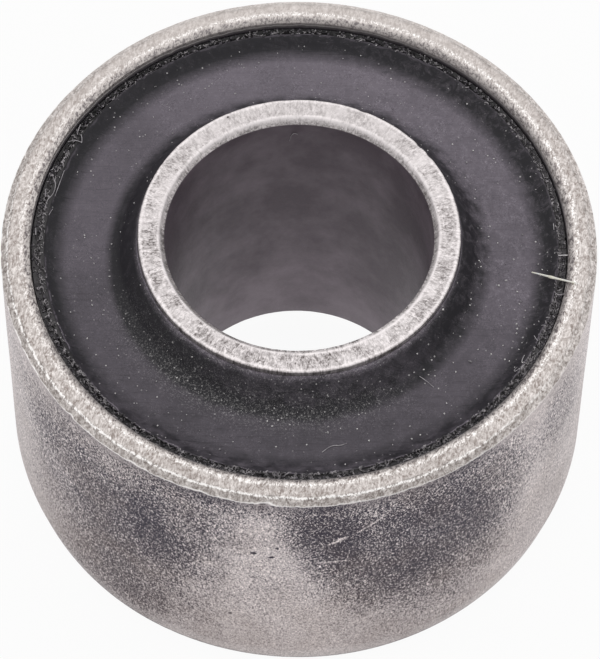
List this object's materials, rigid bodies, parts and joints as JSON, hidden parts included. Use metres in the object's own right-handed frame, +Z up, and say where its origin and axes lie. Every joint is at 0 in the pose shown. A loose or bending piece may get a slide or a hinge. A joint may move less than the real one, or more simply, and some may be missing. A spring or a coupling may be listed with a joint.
{
  "type": "rubber metal bush",
  "caption": "Short steel sleeve with a thick rubber ring bonded round a steel tube, which lets a bolted joint twist and rock while damping shock.",
  "frame": {"origin": "centre of the tube's lower end, on the surface that the bush stands on", "axes": "+Z up the bore axis; the sleeve's lead-in taper is at the lower end, and the shape is the same all round"},
  "size_m": [0.0556, 0.0556, 0.035],
  "materials": {
    "sleeve_steel": "bare blasted steel wall with scratched, burnished end faces",
    "rubber": "moulded satin rubber, dusty",
    "tube_steel": "cut end faces, smooth drawn bore"
  },
  "bodies": {
    "root": {"outer_sleeve": "sleeve_steel", "rubber_ring": "rubber", "inner_tube": "tube_steel"}
  },
  "joints": []
}
